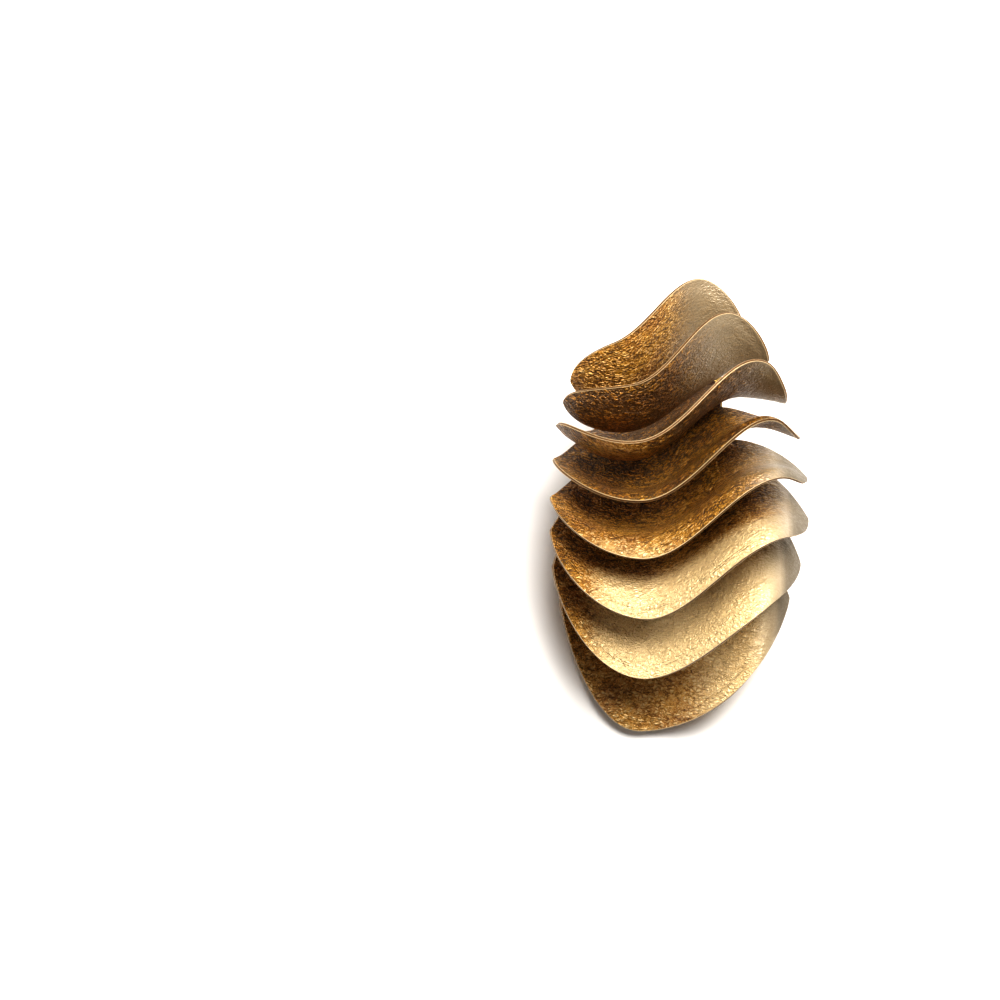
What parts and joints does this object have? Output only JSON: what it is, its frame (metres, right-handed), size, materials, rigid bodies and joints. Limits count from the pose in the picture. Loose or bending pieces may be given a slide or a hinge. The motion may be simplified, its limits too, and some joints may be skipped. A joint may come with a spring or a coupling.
{
  "type": "clip-on earring",
  "caption": "Clip-on earring with waved leather petals fanned over a leather backing and a plain ear clip.",
  "frame": {"origin": "middle of the footprint, on the floor that the earring lies on", "axes": "+Y towards the top of the earring as worn, +Z away from the ear, the way that the petals point, +X to the right in the picture"},
  "size_m": [0.0389, 0.0689, 0.0356],
  "materials": {
    "gold_leather": "bronze-gold metallic leather with a pebbled grain, satin",
    "brown_leather": "plain brown leather, matt",
    "clip_metal": "polished gold-coloured metal"
  },
  "bodies": {
    "root": {"petal_1": "gold_leather", "petal_2": "gold_leather", "petal_3": "gold_leather", "petal_4": "gold_leather", "petal_5": "gold_leather", "petal_6": "gold_leather", "petal_7": "gold_leather", "petal_8": "gold_leather", "backing": "brown_leather", "clip": "clip_metal"}
  },
  "joints": []
}
